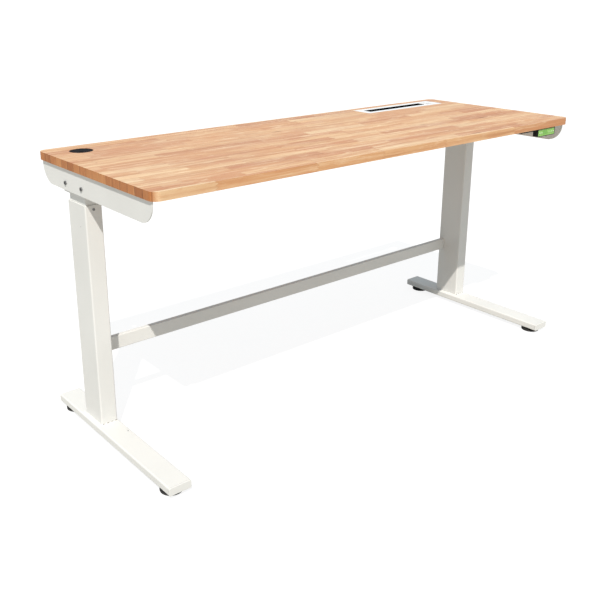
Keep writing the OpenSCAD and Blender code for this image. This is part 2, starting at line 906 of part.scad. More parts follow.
module control_board() {
    z_board = z_under - control_h + control_wall + 4;
    color(board_green)
    translate([control_x + 10, control_y, z_board]) {
        translate([-80, -40, 0]) cube([160, 80, 1.6]);
        for (x = [-60, 60], y = [-30, 30])
            translate([x, y, -4]) cylinder(r = 3, h = 4.2, $fn = 24);
        translate([-35, -10, 1.5]) cube([40, 34, 22]);
        for (i = [0 : 3])
            translate([18 + i * 15, 20, 1.5]) cube([11, 14, 10]);
        for (i = [0 : 2])
            translate([24 + i * 18, -22, 1.5]) cylinder(r = 7, h = 18, $fn = 32);
    }
}

// Three-blade appliance inlet in the control box's left side
module mains_inlet() {
    x_face = control_x - control_w / 2;
    z_mid = z_under - control_h / 2;
    color(black_plastic)
    translate([x_face, control_y, z_mid]) {
        difference() {
            union() {
                translate([-2, 0, 0]) along_x(2) rounded(inlet_w, inlet_h, 2);
                along_x(inlet_depth) rounded(inlet_w - 2, inlet_h - 2, 1);
            }
            translate([-3, 0, 0]) along_x(recess_depth + 1) rounded(recess_w, recess_h, 2);
        }
        for (p = [[-7, 2], [0, -3], [7, 2]])
            translate([recess_depth - 2 - blade_l, p[0] - 1, p[1] - 2]) cube([blade_l + 0.1, 2, 4]);
    }
}

// Motor and handset leads, and the saddles that hold them to the desktop
module leads() {
    saddle_l = 10;
    saddle_w = 16;
    color(black_plastic) {
        lead(left_lead_route, lead_r);
        lead(right_lead_route, lead_r);
        lead(handset_lead_route, thin_lead_r);
        for (x = [-500, -250, 120, 450])
            translate([x - saddle_l / 2, lead_y - saddle_w / 2, z_lead + lead_r - 0.1])
                cube([saddle_l, saddle_w, z_under - z_lead - lead_r + 0.1]);
        for (x = [400, 500])
            translate([x - saddle_l / 2, handset_lead_y - saddle_w / 2, z_thin_lead - 1])
                cube([saddle_l, saddle_w, z_under - z_thin_lead + 1]);
    }
}

module handset_housing() {
    color(black_plastic)
    difference() {
        union() {
            translate([handset_x, handset_front, z_handset])
                along_y(handset_d) rounded(handset_w, handset_h, 3);
            for (x = [-30, 30])
                translate([handset_x + x, handset_back + ear_l / 2, z_under - sheet_t])
                    block(14, ear_l + 0.2, sheet_t, 2);
        }
        translate([handset_x, handset_front - 1, z_panel])
            along_y(handset_d - handset_wall + 1) rounded(handset_in_w, handset_in_h, 1.5);
        for (p = handset_wood_screws())
            translate([p[0], p[1], p[2] - 1]) cylinder(r = wood_shank_r + 0.2, h = sheet_t + 2, $fn = 24);
    }
}

module handset_panel() {
    color(film_green)
    translate([handset_x, handset_front, z_panel])
        difference() {
            along_y(panel_t) rounded(handset_in_w - 0.2, handset_in_h - 0.2, 1.5);
            for (x = button_x)
                translate([x, -1, 0])
                    rotate([-90, 0, 0]) cylinder(r = button_r + panel_gap, h = panel_t + 2, $fn = 48);
        }
}

// Circuit board with its display and one switch behind each button
module handset_board() {
    switch_t = board_y - handset_front - panel_t - 0.3;
    board_w = handset_in_w - 2;
    board_h = handset_in_h - 1.5;
    color(board_green)
    translate([handset_x, board_y, z_panel]) {
        translate([-board_w / 2, 0, -board_h / 2]) cube([board_w, 1.6, board_h]);
        translate([display_x - display_w / 2, -switch_t, -display_h / 2])
            cube([display_w, switch_t + 0.1, display_h]);
        for (x = button_x)
            translate([x - 2.5, -1.2, -2.5]) cube([5, 1.3, 5]);
    }
}

module button(i) {
    color(white_plastic)
    translate([handset_x + button_x[i], handset_front - button_proud, z_panel])
        rotate([-90, 0, 0]) {
            cylinder(r = button_r, h = button_l - 1, $fn = 48);
            translate([0, 0, panel_t + button_proud + 1]) cylinder(r = button_r + 0.5, h = 1, $fn = 48);
        }
}
module button_down() button(0);
module button_up() button(1);
module button_memory_1() button(2);
module button_memory_2() button(3);
module button_memory_3() button(4);
module button_set() button(5);

desktop();
grommet_ring();
grommet_cap();
cable_box_frame();
cable_box_brushes();
side_bracket_left();
side_bracket_right();
bracket_screws();
desktop_screws();
head_plate_left();
head_plate_right();
cross_rail_front();
cross_rail_back();
middle_brace();
inner_column_left();
inner_column_right();
shoe_glides();
outer_column_left();
outer_column_right();
mouth_glides();
glide_screws();
nut_post_left();
nut_post_right();
drive_nut_left();
drive_nut_right();
spindle_left();
spindle_right();
spindle_bearings();
worm_wheel_left();
worm_wheel_right();
worm_left();
worm_right();
gearbox_left();
gearbox_right();
gearbox_covers();
motor_left();
motor_right();
foot_left();
foot_right();
foot_end_caps();
level_inserts();
leveler_front_left();
leveler_front_right();
leveler_back_left();
leveler_back_right();
stretcher();
stretcher_fixings();
control_box();
control_board();
mains_inlet();
leads();
handset_housing();
handset_panel();
handset_board();
button_down();
button_up();
button_memory_1();
button_memory_2();
button_memory_3();
button_set();
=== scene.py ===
"""Height adjustable standing desk: the looks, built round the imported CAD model, in metres."""
import json
import math
import random

import bmesh
import bpy
from mathutils import Euler, Matrix, Vector


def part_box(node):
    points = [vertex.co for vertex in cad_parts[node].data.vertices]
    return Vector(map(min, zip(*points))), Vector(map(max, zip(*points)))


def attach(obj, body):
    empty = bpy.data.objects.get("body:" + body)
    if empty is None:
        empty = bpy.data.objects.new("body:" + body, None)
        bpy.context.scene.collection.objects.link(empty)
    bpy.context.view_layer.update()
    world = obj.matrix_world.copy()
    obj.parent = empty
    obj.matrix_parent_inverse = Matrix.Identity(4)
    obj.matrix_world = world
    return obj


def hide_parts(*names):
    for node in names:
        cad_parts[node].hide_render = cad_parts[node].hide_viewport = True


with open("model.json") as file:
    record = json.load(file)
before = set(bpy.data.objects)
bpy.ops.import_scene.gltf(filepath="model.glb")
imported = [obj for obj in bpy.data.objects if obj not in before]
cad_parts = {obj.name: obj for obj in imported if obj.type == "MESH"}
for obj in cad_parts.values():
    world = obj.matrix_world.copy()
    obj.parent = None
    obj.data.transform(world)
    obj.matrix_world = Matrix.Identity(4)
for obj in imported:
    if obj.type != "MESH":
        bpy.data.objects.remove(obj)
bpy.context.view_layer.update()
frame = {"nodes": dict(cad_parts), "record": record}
NODES = frame["nodes"]
RECORD = frame["record"]
BODY_OF = {n: b for b, ns in RECORD["behaviour"]["bodies"].items() for n in ns}
SLOT_OF = {s["node"]: s["material_slot"] for s in RECORD["subparts"]}
MM = 0.001
RANDOM = random.Random(7)
SAME_POINT = 3e-6                       # metres, within which a CAD mesh's vertices are one
SAME_PLANE = math.radians(0.8)          # angle within which its triangles are one flat face
SHARP_EDGE = math.radians(30)           # angle from which an edge is rounded
SMOOTH, WELD_SMOOTH = 38, 60            # degrees up to which faces are shaded as one curve
ON_AXIS = 1e-7                          # metres, below which a lathe's radius counts as none
COAT_GRAIN = 0.00004                    # metres, the depth of the powder coat's texture
WELD_RIPPLE = 3.2 * MM


# ---- Camera, light and floor ----

def make_camera():
    """The photo's camera, as fitted to the desk's edges and corners."""
    place, turn_degrees = (-1.6323, -1.7440, 1.1893), (72.184, 0.063, -39.426)
    data = bpy.data.cameras.new("camera")
    data.sensor_width = 36
    data.lens = 47.71
    data.shift_x = 0.0313
    data.shift_y = -0.0972
    data.clip_end = 1200
    camera = bpy.data.objects.new("camera", data)
    camera.location = place
    camera.rotation_euler = Euler([math.radians(a) for a in turn_degrees])
    bpy.context.scene.collection.objects.link(camera)
    bpy.context.scene.camera = camera


def seen_or_lit(tree, lit, seen, output):
    """The backdrop shows as plain white and lights the object more softly than that."""
    path = tree.nodes.new("ShaderNodeLightPath")
    choice = tree.nodes.new("ShaderNodeMixShader")
    tree.links.new(path.outputs["Is Camera Ray"], choice.inputs[0])
    tree.links.new(lit.outputs[0], choice.inputs[1])
    tree.links.new(seen.outputs[0], choice.inputs[2])
    tree.links.new(choice.outputs[0], output.inputs["Surface"])


def make_light():
    """A key light from the front left, well above the desk, and an even pale surround."""
    towards = Vector((-0.385, -0.481, 0.788))
    key = bpy.data.lights.new("key", "SUN")
    key.energy = 3.8
    key.angle = math.radians(0.55)
    key.color = (1.0, 0.975, 0.93)
    lamp = bpy.data.objects.new("key", key)
    lamp.rotation_euler = towards.to_track_quat("Z", "Y").to_euler()
    bpy.context.scene.collection.objects.link(lamp)
    world = bpy.data.worlds.new("surround")
    world.use_nodes = True
    tree = world.node_tree
    surround = tree.nodes["Background"]
    surround.inputs["Color"].default_value = (0.82, 0.92, 1.0, 1)
    surround.inputs["Strength"].default_value = 0.55
    backdrop = tree.nodes.new("ShaderNodeBackground")
    backdrop.inputs["Color"].default_value = (1, 1, 1, 1)
    seen_or_lit(tree, surround, backdrop, tree.nodes["World Output"])
    bpy.context.scene.world = world
    bpy.context.scene.view_settings.view_transform = "Standard"


def make_floor():
    """A wide floor: the camera sees it as near white, and the desk is lit by a softer bounce."""
    half = 400  # metres, so that no view shows its edge
    mesh = bpy.data.meshes.new("floor")
    corners = [(-half, -half, 0), (half, -half, 0), (half, half, 0), (-half, half, 0)]
    mesh.from_pydata(corners, [], [(0, 1, 2, 3)])
    floor = bpy.data.objects.new("floor", mesh)
    bpy.context.scene.collection.objects.link(floor)
    paint = Paint("floor", roughness=0.9, specular=0.1)
    tone = paint.noise(paint.at, 0.8, detail=2)
    paint.colour(paint.ramp(tone, ((0.3, (0.17, 0.17, 0.17)), (0.7, (0.19, 0.19, 0.188)))))
    paint.shader.inputs["Emission Color"].default_value = (1, 1, 1, 1)
    paint.shader.inputs["Emission Strength"].default_value = 0.88
    bounce = paint.node("BsdfDiffuse")
    bounce.inputs["Color"].default_value = (0.52, 0.50, 0.465, 1)
    seen_or_lit(paint.tree, bounce, paint.shader, paint.tree.nodes["Material Output"])
    mesh.materials.append(paint.material)


# ---- Materials ----

class Paint:
    """A procedural material, with short calls for the nodes that it is made of."""

    def __init__(self, name, metallic=0.0, roughness=0.5, specular=0.5, coat=0.0, coat_roughness=0.1):
        self.material = bpy.data.materials.new(name)
        self.material.use_nodes = True
        self.tree = self.material.node_tree
        self.shader = self.tree.nodes["Principled BSDF"]
        for socket, value in (("Metallic", metallic), ("Roughness", roughness),
                              ("Specular IOR Level", specular), ("Coat Weight", coat),
                              ("Coat Roughness", coat_roughness)):
            self.shader.inputs[socket].default_value = value
        place = self.tree.nodes.new("ShaderNodeTexCoord")
        self.at = place.outputs["Object"]
        self.normal = place.outputs["Normal"]
        self.bumps = None

    def node(self, kind, **settings):
        made = self.tree.nodes.new("ShaderNode" + kind)
        for name, value in settings.items():
            setattr(made, name, value)
        return made

    def put(self, socket, value):
        if isinstance(value, bpy.types.NodeSocket):
            self.tree.links.new(value, socket)
        else:
            socket.default_value = value

    def math(self, operation, *values):
        made = self.node("Math", operation=operation)
        for socket, value in zip(made.inputs, values):
            self.put(socket, value)
        return made.outputs[0]

    def split(self, vector):
        made = self.node("SeparateXYZ")
        self.put(made.inputs[0], vector)
        return made.outputs[0], made.outputs[1], made.outputs[2]

    def vector(self, operation, a, b):
        made = self.node("VectorMath", operation=operation)
        self.put(made.inputs[0], a)
        self.put(made.inputs[1], b)
        return made.outputs[0]

    def noise(self, vector, scale, detail=4, roughness=0.5, distortion=0.0):
        made = self.node("TexNoise")
        self.put(made.inputs["Vector"], vector)
        for name, value in (("Scale", scale), ("Detail", detail), ("Roughness", roughness),
                            ("Distortion", distortion)):
            self.put(made.inputs[name], value)
        return made.outputs[0]

    def cells(self, vector, scale):
        made = self.node("TexVoronoi")
        self.put(made.inputs["Vector"], vector)
        self.put(made.inputs["Scale"], scale)
        return made.outputs["Distance"]

    def range(self, value, low, high, to_low=0.0, to_high=1.0):
        made = self.node("MapRange")
        for socket, v in zip(made.inputs, (value, low, high, to_low, to_high)):
            self.put(socket, v)
        return made.outputs[0]

    def ramp(self, value, stops):
        made = self.node("ValToRGB")
        self.put(made.inputs[0], value)
        elements = made.color_ramp.elements
        while len(elements) < len(stops):
            elements.new(1.0)
        for element, (position, colour) in zip(elements, stops):
            element.position = position
            element.color = (*colour, 1)
        return made.outputs[0]

    def mix(self, share, a, b):
        made = self.node("Mix", data_type="RGBA")
        for socket, value in ((made.inputs[0], share), (made.inputs[6], a), (made.inputs[7], b)):
            if isinstance(value, tuple):
                value = (*value, 1)
            self.put(socket, value)
        return made.outputs[2]

    def colour(self, value):
        self.put(self.shader.inputs["Base Color"], value)

    def rough(self, value):
        self.put(self.shader.inputs["Roughness"], value)

    def bump(self, height, depth):
        made = self.node("Bump")
        self.put(made.inputs["Height"], height)
        self.put(made.inputs["Distance"], depth)
        if self.bumps:
            self.put(made.inputs["Normal"], self.bumps)
        self.bumps = made.outputs[0]
        self.put(self.shader.inputs["Normal"], self.bumps)


def wood():
    """Edge-glued staves of finger-jointed pieces, with end grain on the two short sides."""
    stave, stave_start = 34 * MM, 16 * MM  # a stave's width, and where one begins in Y
    piece, finger, finger_pitch = 0.27, 9 * MM, 8.4 * MM  # mean length, finger's depth and pitch
    row_step, chance_step = 41.37, 7.0  # piece lengths by which the rows are shifted
    paint = Paint("oiled_wood", roughness=0.42, specular=0.4)
    x, y, z = paint.split(paint.at)
    across = paint.math("DIVIDE", paint.math("SUBTRACT", y, stave_start), stave)
    row = paint.math("FLOOR", across)
    chance = paint.node("TexWhiteNoise", noise_dimensions="1D")
    paint.put(chance.inputs["W"], row)
    row_chance = chance.outputs["Value"]
    zigzag = paint.math("PINGPONG", z, finger_pitch / 2)
    along = paint.math("ADD", x, paint.math("MULTIPLY", zigzag, 2 * finger / finger_pitch))
    place = paint.math("ADD", paint.math("DIVIDE", along, piece), paint.math("MULTIPLY", row, row_step))
    place = paint.math("ADD", place, paint.math("MULTIPLY", row_chance, chance_step))
    pieces = paint.node("TexVoronoi", voronoi_dimensions="1D")
    joints = paint.node("TexVoronoi", voronoi_dimensions="1D", feature="DISTANCE_TO_EDGE")
    for made in (pieces, joints):
        paint.put(made.inputs["W"], place)
        paint.put(made.inputs["Scale"], 1.0)
        paint.put(made.inputs["Randomness"], 0.8)
    red, green, blue = paint.split(pieces.outputs["Color"])
    tone = paint.ramp(red, ((0.0, (0.810, 0.600, 0.365)), (0.14, (0.770, 0.510, 0.285)),
                            (0.32, (0.718, 0.440, 0.230)), (0.60, (0.665, 0.370, 0.188)),
                            (0.82, (0.592, 0.292, 0.148)), (1.0, (0.480, 0.208, 0.102))))
    # Grain runs along the piece and starts anew in each one
    shift = paint.vector("MULTIPLY", pieces.outputs["Color"], (9.0, 9.0, 9.0))
    own = paint.vector("ADD", paint.at, shift)

    def grain(scale, detail, roughness=0.5, distortion=0.0):
        return paint.noise(paint.vector("MULTIPLY", own, scale), 1.0, detail, roughness, distortion)

    broad = grain((2.2, 42, 42), 5, 0.6, 0.6)
    streak = grain((3.0, 120, 120), 6, 0.62, 0.5)
    hair = grain((2.4, 300, 300), 4, 0.6, 0.3)
    patch = grain((12, 70, 70), 5, 0.65, 0.8)
    fibre = grain((22, 900, 900), 3)
    pore = grain((60, 1500, 1500), 2)
    tone = paint.mix(paint.range(broad, 0.40, 0.66, 0.0, 0.46), tone, (0.55, 0.255, 0.125))
    tone = paint.mix(paint.range(patch, 0.53, 0.68, 0.0, 0.62), tone, (0.57, 0.230, 0.130))
    tone = paint.mix(paint.range(patch, 0.47, 0.32, 0.0, 0.66), tone, (0.88, 0.67, 0.44))
    tone = paint.mix(paint.range(streak, 0.53, 0.68, 0.0, 0.66), tone, (0.42, 0.180, 0.085))
    tone = paint.mix(paint.range(streak, 0.48, 0.33, 0.0, 0.62), tone, (0.88, 0.68, 0.45))
    tone = paint.mix(paint.range(hair, 0.54, 0.70, 0.0, 0.58), tone, (0.38, 0.155, 0.075))
    tone = paint.mix(paint.range(fibre, 0.35, 0.65, 0.0, 0.14), tone, (0.48, 0.24, 0.12))
    pores = paint.range(pore, 0.66, 0.72)
    tone = paint.mix(paint.math("MULTIPLY", pores, 0.35), tone, (0.26, 0.12, 0.06))
    # Painted shade: the faces that look along Y, the long front and back edges, are painted darker and
    # redder than the top
    painted_edge_shade = paint.range(paint.math("ABSOLUTE", paint.split(paint.normal)[1]), 0.55, 0.90, 0.0, 0.34)
    tone = paint.mix(painted_edge_shade, tone, (0.58, 0.260, 0.090))
    # A few small knots and dark flecks
    spot = paint.cells(paint.vector("MULTIPLY", own, (3.2, 11, 11)), 1.0)
    knot = paint.math("MULTIPLY", paint.range(spot, 0.10, 0.035), paint.range(green, 0.62, 0.66))
    tone = paint.mix(paint.math("MULTIPLY", knot, 0.65), tone, (0.25, 0.10, 0.05))
    # Glue lines between the staves and at the ends of the pieces
    inside = paint.math("ABSOLUTE", paint.math("SUBTRACT", paint.math("FRACT", across), 0.5))
    seam = paint.range(inside, 0.5 - 0.014, 0.5 - 0.004)
    end = paint.range(joints.outputs["Distance"], 0.0035, 0.0012)
    seam_depth = paint.range(row_chance, 0.0, 1.0, 0.24, 0.78)
    line = paint.math("MAXIMUM", paint.math("MULTIPLY", seam, seam_depth),
                      paint.math("MULTIPLY", end, 0.40))
    tone = paint.mix(line, tone, (0.33, 0.16, 0.08))
    # End grain: rings about a centre of each stave's own, on the faces that look along the desk
    facing = paint.math("ABSOLUTE", paint.split(paint.normal)[0])
    ends = paint.range(facing, 0.35, 0.85)
    centre_y = paint.math("ADD", paint.math("MULTIPLY", row, stave),
                          paint.math("MULTIPLY", row_chance, 0.09))
    centre_z = paint.math("ADD", 0.70, paint.math("MULTIPLY", blue, 0.05))
    away_y = paint.math("POWER", paint.math("SUBTRACT", y, centre_y), 2.0)
    away_z = paint.math("POWER", paint.math("SUBTRACT", z, centre_z), 2.0)
    ring = paint.math("SQRT", paint.math("ADD", away_y, away_z))
    wobble = paint.noise(own, 60.0, detail=3)
    ring = paint.math("ADD", paint.math("MULTIPLY", ring, 420.0), paint.math("MULTIPLY", wobble, 2.2))
    ring = paint.math("FRACT", ring)
    cut = paint.ramp(row_chance, ((0.0, (0.62, 0.270, 0.096)), (0.35, (0.465, 0.172, 0.053)),
                                  (0.70, (0.550, 0.218, 0.073)), (1.0, (0.35, 0.118, 0.036))))
    cut = paint.mix(paint.range(ring, 0.50, 1.0, 0.0, 0.50), cut, (0.24, 0.08, 0.028))
    check = paint.noise(paint.vector("MULTIPLY", paint.at, (1, 260, 22)), 1.0, detail=3)
    cut = paint.mix(paint.range(check, 0.60, 0.72, 0.0, 0.55), cut, (0.20, 0.065, 0.022))
    cut = paint.mix(paint.range(check, 0.42, 0.32, 0.0, 0.35), cut, (0.78, 0.42, 0.18))
    grit = paint.noise(paint.at, 1600.0, detail=2)
    cut = paint.mix(paint.range(grit, 0.45, 0.70, 0.0, 0.35), cut, (0.24, 0.08, 0.03))
    # The joints between the staves are wider and darker on the sawn ends
    gap = paint.math("MULTIPLY", paint.range(inside, 0.5 - 0.045, 0.5 - 0.015),
                     paint.range(row_chance, 0.25, 0.9, 0.35, 0.95))
    cut = paint.mix(gap, cut, (0.14, 0.05, 0.02))
    paint.colour(paint.mix(ends, tone, cut))
    sheen = paint.noise(paint.at, 7.0, detail=3)
    paint.rough(paint.math("ADD", paint.range(sheen, 0.3, 0.7, 0.38, 0.50),
                           paint.math("MULTIPLY", ends, 0.12)))
    paint.bump(fibre, 0.00005)
    paint.bump(paint.math("SUBTRACT", 1.0, line), 0.00012)
    return paint.material


def coat(name, base, shade, flecks=True):
    """Fine-textured coat or paint on metal, with slight scuffs and, with flecks, a few chips."""
    paint = Paint(name, roughness=0.4, specular=0.45)
    patch = paint.noise(paint.at, 5.0, detail=3)
    colour = paint.mix(paint.range(patch, 0.35, 0.65), base, shade)
    rub = paint.noise(paint.vector("MULTIPLY", paint.at, (35, 35, 9)), 1.0, detail=5, distortion=0.8)
    scuff = paint.range(rub, 0.68, 0.80)
    colour = paint.mix(paint.math("MULTIPLY", scuff, 0.10), colour, (0.45, 0.44, 0.42))
    if flecks:
        spot = paint.cells(paint.at, 21.0)
        rare = paint.range(paint.noise(paint.at, 9.0, detail=1), 0.54, 0.56)
        chip = paint.math("MULTIPLY", paint.range(spot, 0.034, 0.024), rare)
        colour = paint.mix(paint.math("MULTIPLY", chip, 0.8), colour, (0.16, 0.15, 0.14))
        paint.bump(paint.math("SUBTRACT", 1.0, chip), 0.00012)
    paint.colour(colour)
    grain = paint.noise(paint.at, 1300.0, detail=2)
    paint.rough(paint.math("ADD", paint.range(grain, 0.3, 0.7, 0.34, 0.46),
                           paint.math("MULTIPLY", scuff, 0.15)))
    paint.bump(grain, COAT_GRAIN)
    paint.bump(paint.noise(paint.at, 420.0, detail=2), COAT_GRAIN)
    return paint.material


def plastic(name, base, shade, rough=0.5, grain_size=2200.0, specular=0.45, coat_weight=0.0):
    """Moulded plastic with a fine spark-eroded grain and slight rubbed patches."""
    paint = Paint(name, roughness=rough, specular=specular, coat=coat_weight, coat_roughness=0.08)
    patch = paint.noise(paint.at, 14.0, detail=4)
    rub = paint.range(paint.noise(paint.at, 75.0, detail=4, distortion=1.0), 0.60, 0.78)
    colour = paint.mix(paint.range(patch, 0.3, 0.7), base, shade)
    rubbed = tuple(0.65 * c + 0.10 for c in base)
    paint.colour(paint.mix(paint.math("MULTIPLY", rub, 0.20), colour, rubbed))
    grain = paint.noise(paint.at, grain_size, detail=2)
    paint.rough(paint.math("ADD", paint.range(grain, 0.3, 0.7, rough - 0.07, rough + 0.07),
                           paint.math("MULTIPLY", rub, -0.08)))
    paint.bump(grain, 0.00003)
    return paint.material


def metal(name, base, shade, rough=0.34, streaks=(900, 900, 30)):
    """Machined or plated steel with fine tool marks and dull spots."""
    paint = Paint(name, metallic=1.0, roughness=rough)
    marks = paint.noise(paint.vector("MULTIPLY", paint.at, streaks), 1.0, detail=4)
    dull = paint.noise(paint.at, 45.0, detail=5)
    colour = paint.mix(paint.range(marks, 0.3, 0.7), base, shade)
    dulled = tuple(0.55 * c for c in base)
    paint.colour(paint.mix(paint.range(dull, 0.58, 0.75, 0.0, 0.35), colour, dulled))
    paint.rough(paint.math("ADD", paint.range(marks, 0.3, 0.7, rough - 0.08, rough + 0.10),
                           paint.range(dull, 0.5, 0.8, 0.0, 0.15)))
    paint.bump(marks, 0.00002)
    return paint.material


def rubber():
    """Matt black rubber, dusty towards the floor."""
    paint = Paint("black_rubber", roughness=0.75, specular=0.3)
    height = paint.split(paint.at)[2]
    dust = paint.math("MULTIPLY", paint.range(height, 0.006, 0.0, 0.15, 0.8),
                      paint.noise(paint.at, 160.0, detail=5))
    paint.colour(paint.mix(dust, (0.012, 0.012, 0.013), (0.16, 0.15, 0.14)))
    grain = paint.noise(paint.at, 1500.0, detail=3)
    paint.rough(paint.range(grain, 0.3, 0.7, 0.66, 0.84))
    paint.bump(grain, 0.00004)
    return paint.material


def board():
    """Green solder mask with copper tracks under it."""
    paint = Paint("circuit_board", roughness=0.35, specular=0.5)
    tracks = paint.node("TexBrick")
    paint.put(tracks.inputs["Vector"], paint.at)
    for socket, value in (("Scale", 90.0), ("Mortar Size", 0.06), ("Brick Width", 1.4),
                          ("Row Height", 0.4)):
        paint.put(tracks.inputs[socket], value)
    fine = paint.noise(paint.at, 300.0, detail=3)
    ground = paint.mix(paint.range(fine, 0.3, 0.7), (0.015, 0.12, 0.045), (0.03, 0.19, 0.07))
    paint.colour(paint.mix(tracks.outputs["Fac"], ground, (0.10, 0.33, 0.10)))
    paint.rough(paint.range(fine, 0.3, 0.7, 0.28, 0.42))
    paint.bump(tracks.outputs["Fac"], 0.00004)
    return paint.material


def green_panel():
    """Glossy green front with a faint sparkle and hairline wipe marks."""
    paint = Paint("green_panel", roughness=0.25, specular=0.5, coat=0.25, coat_roughness=0.08)
    cloud = paint.noise(paint.at, 120.0, detail=3)
    wipe = paint.noise(paint.vector("MULTIPLY", paint.at, (60, 60, 900)), 1.0, detail=3)
    colour = paint.mix(paint.range(cloud, 0.3, 0.7), (0.215, 0.470, 0.085), (0.275, 0.545, 0.120))
    paint.colour(paint.mix(paint.range(wipe, 0.62, 0.75, 0.0, 0.25), colour, (0.42, 0.66, 0.26)))
    paint.rough(paint.range(wipe, 0.3, 0.7, 0.18, 0.32))
    paint.bump(wipe, 0.00001)
    return paint.material


def make_materials():
    """One material for each of the record's material slots, and a few more for small details."""
    white, white_shade = (0.745, 0.735, 0.705), (0.715, 0.705, 0.675)
    return {
        "oiled_wood": wood(),
        "white_powder_coat": coat("white_powder_coat", white, white_shade),
        "white_cable_box": coat("white_cable_box", (0.84, 0.84, 0.85), (0.81, 0.81, 0.82),
                                flecks=False),
        "white_plastic": plastic("white_plastic", (0.735, 0.725, 0.695), (0.70, 0.69, 0.66), 0.48,
                                 1500.0),
        "black_plastic": plastic("black_plastic", (0.009, 0.008, 0.009), (0.014, 0.012, 0.013), 0.62,
                                 specular=0.07),
        "black_bristle": plastic("black_bristle", (0.004, 0.004, 0.004), (0.009, 0.009, 0.009), 0.80,
                                 5000.0, 0.05),
        "black_rubber": rubber(),
        "steel": metal("steel", (0.56, 0.56, 0.57), (0.46, 0.46, 0.47), 0.30),
        "zinc_plated_screws": metal("zinc_plated_screws", (0.60, 0.61, 0.63), (0.48, 0.49, 0.51), 0.36),
        "acetal": plastic("acetal", (0.80, 0.79, 0.74), (0.76, 0.75, 0.70), 0.38, 900.0),
        "die_cast_housing": metal("die_cast_housing", (0.50, 0.51, 0.53), (0.42, 0.43, 0.45), 0.52,
                                  (300, 300, 300)),
        "motor_black": coat("motor_black", (0.020, 0.020, 0.022), (0.028, 0.028, 0.030), flecks=False),
        "circuit_board": board(),
        "lead_black": plastic("lead_black", (0.009, 0.009, 0.010), (0.016, 0.016, 0.017), 0.60, 700.0,
                              0.12),
        "handset_black": plastic("handset_black", (0.006, 0.006, 0.006), (0.010, 0.010, 0.010), 0.42,
                                 specular=0.20),
        "green_panel": green_panel(),
        "button_plastic": plastic("button_plastic", (0.27, 0.54, 0.13), (0.24, 0.50, 0.10), 0.36,
                                  2500.0),
        "display": plastic("display", (0.150, 0.400, 0.055), (0.180, 0.440, 0.075), 0.20, 300.0,
                           0.5, 0.3),
        "mark": plastic("mark", (0.88, 0.95, 0.78), (0.83, 0.92, 0.72), 0.42, 2500.0),
        # Painted shade: these screw heads are darkened to stand for the shade in their sockets and
        # under their heads
        "black_screws": metal("black_screws", (0.270, 0.270, 0.275), (0.170, 0.170, 0.175), 0.30),
        # Painted shade for the gaps between the weld tacks
        "painted_gap_shade": plastic("painted_gap_shade", (0.055, 0.050, 0.045), (0.11, 0.10, 0.09), 0.70, 1800.0),
    }


# ---- Shapes ----

def finish_mesh(bm, name, smooth):
    """Turns a bmesh into a mesh that is smooth on its curves and sharp on its edges."""
    bmesh.ops.recalc_face_normals(bm, faces=bm.faces)
    mesh = bpy.data.meshes.new(name)
    bm.to_mesh(mesh)
    bm.free()
    mesh.polygons.foreach_set("use_smooth", [True] * len(mesh.polygons))
    mesh.set_sharp_from_angle(angle=math.radians(smooth))
    return mesh


def add_piece(name, bm, slot, body, replaced=(), material=None, smooth=SMOOTH):
    """Adds a bmesh as a piece in the row frame, with the finish of one of the record's slots.

    replaced names the CAD nodes that it stands for. material is a finish other than the slot's own.
    """
    mesh = finish_mesh(bm, name, smooth)
    piece = bpy.data.objects.new(name, mesh)
    bpy.context.scene.collection.objects.link(piece)
    mesh.materials.clear()
    mesh.materials.append(MATERIALS[material or slot])
    even = piece.modifiers.new("even_shading", "WEIGHTED_NORMAL")
    even.keep_sharp = True
    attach(piece, body)
    if replaced:
        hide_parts(*replaced)


def cad_shape(node):
    """A CAD node's shape as a clean bmesh: one vertex a corner, and whole flat faces."""
    bm = bmesh.new()
    bm.from_mesh(NODES[node].data)
    for layers in (bm.loops.layers.float_vector, bm.loops.layers.uv):
        for layer in list(layers.values()):
            layers.remove(layer)
    bmesh.ops.remove_doubles(bm, verts=bm.verts, dist=SAME_POINT)
    bmesh.ops.dissolve_limit(bm, angle_limit=SAME_PLANE, verts=bm.verts, edges=bm.edges)
    return bm


def soften(bm, radius, segments=2, pick=None):
    """Rounds the sharp edges of a bmesh. pick says which of them; without it, all."""
    sharp = [e for e in bm.edges if e.is_manifold and e.calc_face_angle(0) > SHARP_EDGE
             and (pick is None or pick(e))]
    if sharp:
        bmesh.ops.bevel(bm, geom=sharp, offset=radius, offset_type="OFFSET", segments=segments,
                        profile=0.5, affect="EDGES", clamp_overlap=True)


def refine(node, radius):
    """Replaces a CAD node with its own shape, the edges rounded as a press or mould leaves them."""
    bm = cad_shape(node)
    soften(bm, radius)
    add_piece(node + "_look", bm, SLOT_OF[node], BODY_OF[node], (node,))


def lathe(profile, steps):
    """A closed solid of revolution about Z. profile is (radius, height) pairs in millimetres.

    They run from the bottom centre to the top centre.
    """
    bm = bmesh.new()
    rings = []
    turns = [2 * math.pi * i / steps for i in range(steps)]
    for radius, height in ((r * MM, h * MM) for r, h in profile):
        if radius < ON_AXIS:
            rings.append([bm.verts.new((0, 0, height))])
        else:
            rings.append([bm.verts.new((radius * math.cos(t), radius * math.sin(t), height))
                          for t in turns])
    for low, high in zip(rings, rings[1:]):
        for i in range(steps):
            j = (i + 1) % steps
            if len(low) == 1:
                bm.faces.new((low[0], high[j], high[i]))
            elif len(high) == 1:
                bm.faces.new((low[i], low[j], high[0]))
            else:
                bm.faces.new((low[i], low[j], high[j], high[i]))
    return bm


def placed(bm, at, turn=None):
    """Moves a bmesh to a point, turned by Euler angles in degrees."""
    matrix = Matrix.Translation(at)
    if turn:
        matrix = matrix @ Euler([math.radians(a) for a in turn]).to_matrix().to_4x4()
    bmesh.ops.transform(bm, matrix=matrix, verts=bm.verts)
    return bm


